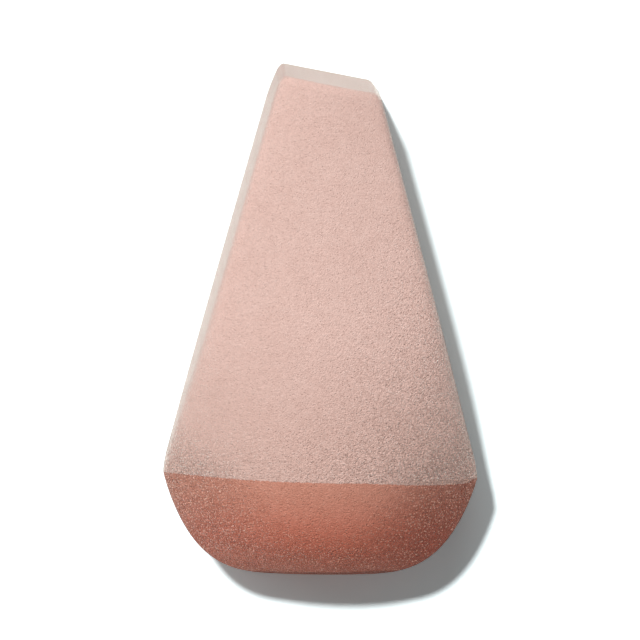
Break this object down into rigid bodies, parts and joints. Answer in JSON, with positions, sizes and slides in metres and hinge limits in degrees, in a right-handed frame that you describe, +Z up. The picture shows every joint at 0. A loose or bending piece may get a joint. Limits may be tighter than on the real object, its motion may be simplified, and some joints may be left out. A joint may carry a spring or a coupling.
{
  "type": "makeup sponge",
  "caption": "Two-tone foam makeup sponge: a tapered pale body with a slanted tip, bonded to a dark rounded base, lying on its flat back.",
  "frame": {"origin": "on the flat back that the sponge lies on, under the middle of its length and width", "axes": "+Y along the sponge from the rounded base towards the slanted tip, +X across its width, +Z up out of the front face"},
  "size_m": [0.0392, 0.0634, 0.0216],
  "materials": {
    "pale_foam": "dusty pink open-cell polyurethane foam, fine velvety matt grain",
    "dark_foam": "terracotta rose open-cell polyurethane foam, fine velvety matt grain",
    "adhesive": "thin flexible adhesive film, semi-clear"
  },
  "bodies": {
    "root": {"tapered_body": "pale_foam", "rounded_base": "dark_foam", "bond_film": "adhesive"}
  },
  "joints": []
}
